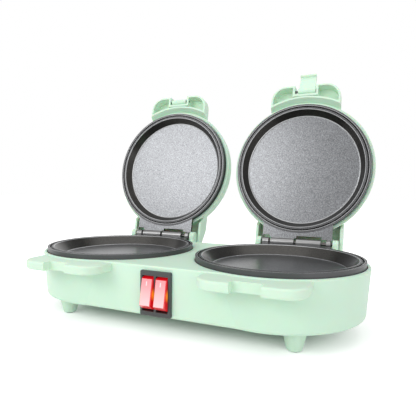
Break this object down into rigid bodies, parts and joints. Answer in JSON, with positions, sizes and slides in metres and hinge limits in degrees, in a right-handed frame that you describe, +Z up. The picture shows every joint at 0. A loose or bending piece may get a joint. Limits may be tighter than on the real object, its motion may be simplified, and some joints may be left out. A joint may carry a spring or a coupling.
{
  "type": "twin pancake maker",
  "caption": "Countertop cooker: round non-stick plates side by side in a legged base, each under its own hinged lid with a handle and a snap latch, and rocker switches in front.",
  "frame": {"origin": "on the floor, under the middle of the base's bottom cover", "axes": "+X to the object's right along the two plates, -Y to the front with the switch and handles, +Z up"},
  "size_m": [0.2732, 0.2106, 0.2191],
  "materials": {
    "case": "satin pastel green moulded plastic",
    "latch_plastic": "satin pastel green moulded plastic",
    "plate_coating": "fine-grained dark non-stick coating on cast aluminium",
    "pin_steel": "plain turned steel",
    "screw_steel": "zinc-plated steel",
    "element_steel": "dull oxidised steel sheath",
    "reflector_steel": "bright pressed steel sheet",
    "thermostat_body": "matt moulded case",
    "switch_black": "satin black nylon",
    "rocker_red": "glossy translucent red, lit from inside",
    "terminal_brass": "plain stamped brass",
    "gland_black": "matt black nylon",
    "block_white": "matt off-white nylon",
    "pad_rubber": "matt black rubber"
  },
  "bodies": {
    "root": {"base_housing": "case", "bottom_cover": "case", "bottom_screws": "screw_steel", "foot_pads": "pad_rubber", "switch_body": "switch_black", "switch_terminals": "terminal_brass", "cord_gland": "gland_black", "terminal_block": "block_white", "left_lower_plate": "plate_coating", "left_lower_element": "element_steel", "left_lower_reflector": "reflector_steel", "left_lower_plate_screws": "screw_steel", "left_thermostat": "thermostat_body", "left_hinge_pin": "pin_steel", "right_lower_plate": "plate_coating", "right_lower_element": "element_steel", "right_lower_reflector": "reflector_steel", "right_lower_plate_screws": "screw_steel", "right_thermostat": "thermostat_body", "right_hinge_pin": "pin_steel"},
    "left_lid": {"left_lid_cover": "case", "left_upper_plate": "plate_coating", "left_upper_element": "element_steel", "left_upper_reflector": "reflector_steel", "left_upper_plate_screws": "screw_steel", "left_latch_pin": "pin_steel"},
    "left_latch_tab": {"left_latch": "latch_plastic"},
    "left_rocker_button": {"left_rocker": "rocker_red"},
    "right_lid": {"right_lid_cover": "case", "right_upper_plate": "plate_coating", "right_upper_element": "element_steel", "right_upper_reflector": "reflector_steel", "right_upper_plate_screws": "screw_steel", "right_latch_pin": "pin_steel"},
    "right_latch_tab": {"right_latch": "latch_plastic"},
    "right_rocker_button": {"right_rocker": "rocker_red"}
  },
  "joints": [
    {"name": "left_lid_hinge", "type": "hinge", "parent": "root", "child": "left_lid", "pos_m": [-0.0705, 0.0725, 0.05365], "axis": [1, 0, 0], "range_deg": [0, 101.4]},
    {"name": "left_latch_pivot", "type": "hinge", "parent": "left_lid", "child": "left_latch_tab", "pos_m": [-0.0705, 0.108, 0.20063], "axis": [1, 0, 0], "range_deg": [0, 180]},
    {"name": "right_lid_hinge", "type": "hinge", "parent": "root", "child": "right_lid", "pos_m": [0.0705, 0.0725, 0.05365], "axis": [1, 0, 0], "range_deg": [0, 101.4]},
    {"name": "right_latch_pivot", "type": "hinge", "parent": "right_lid", "child": "right_latch_tab", "pos_m": [0.0717, 0.108, 0.20063], "axis": [1, 0, 0], "range_deg": [-69, 111]},
    {"name": "left_rocker_press", "type": "hinge", "parent": "root", "child": "left_rocker_button", "pos_m": [-0.0039, -0.059, 0.03075], "axis": [1, 0, 0], "range_deg": [0, 22]},
    {"name": "right_rocker_press", "type": "hinge", "parent": "root", "child": "right_rocker_button", "pos_m": [0.0069, -0.059, 0.03075], "axis": [1, 0, 0], "range_deg": [0, 22]}
  ]
}
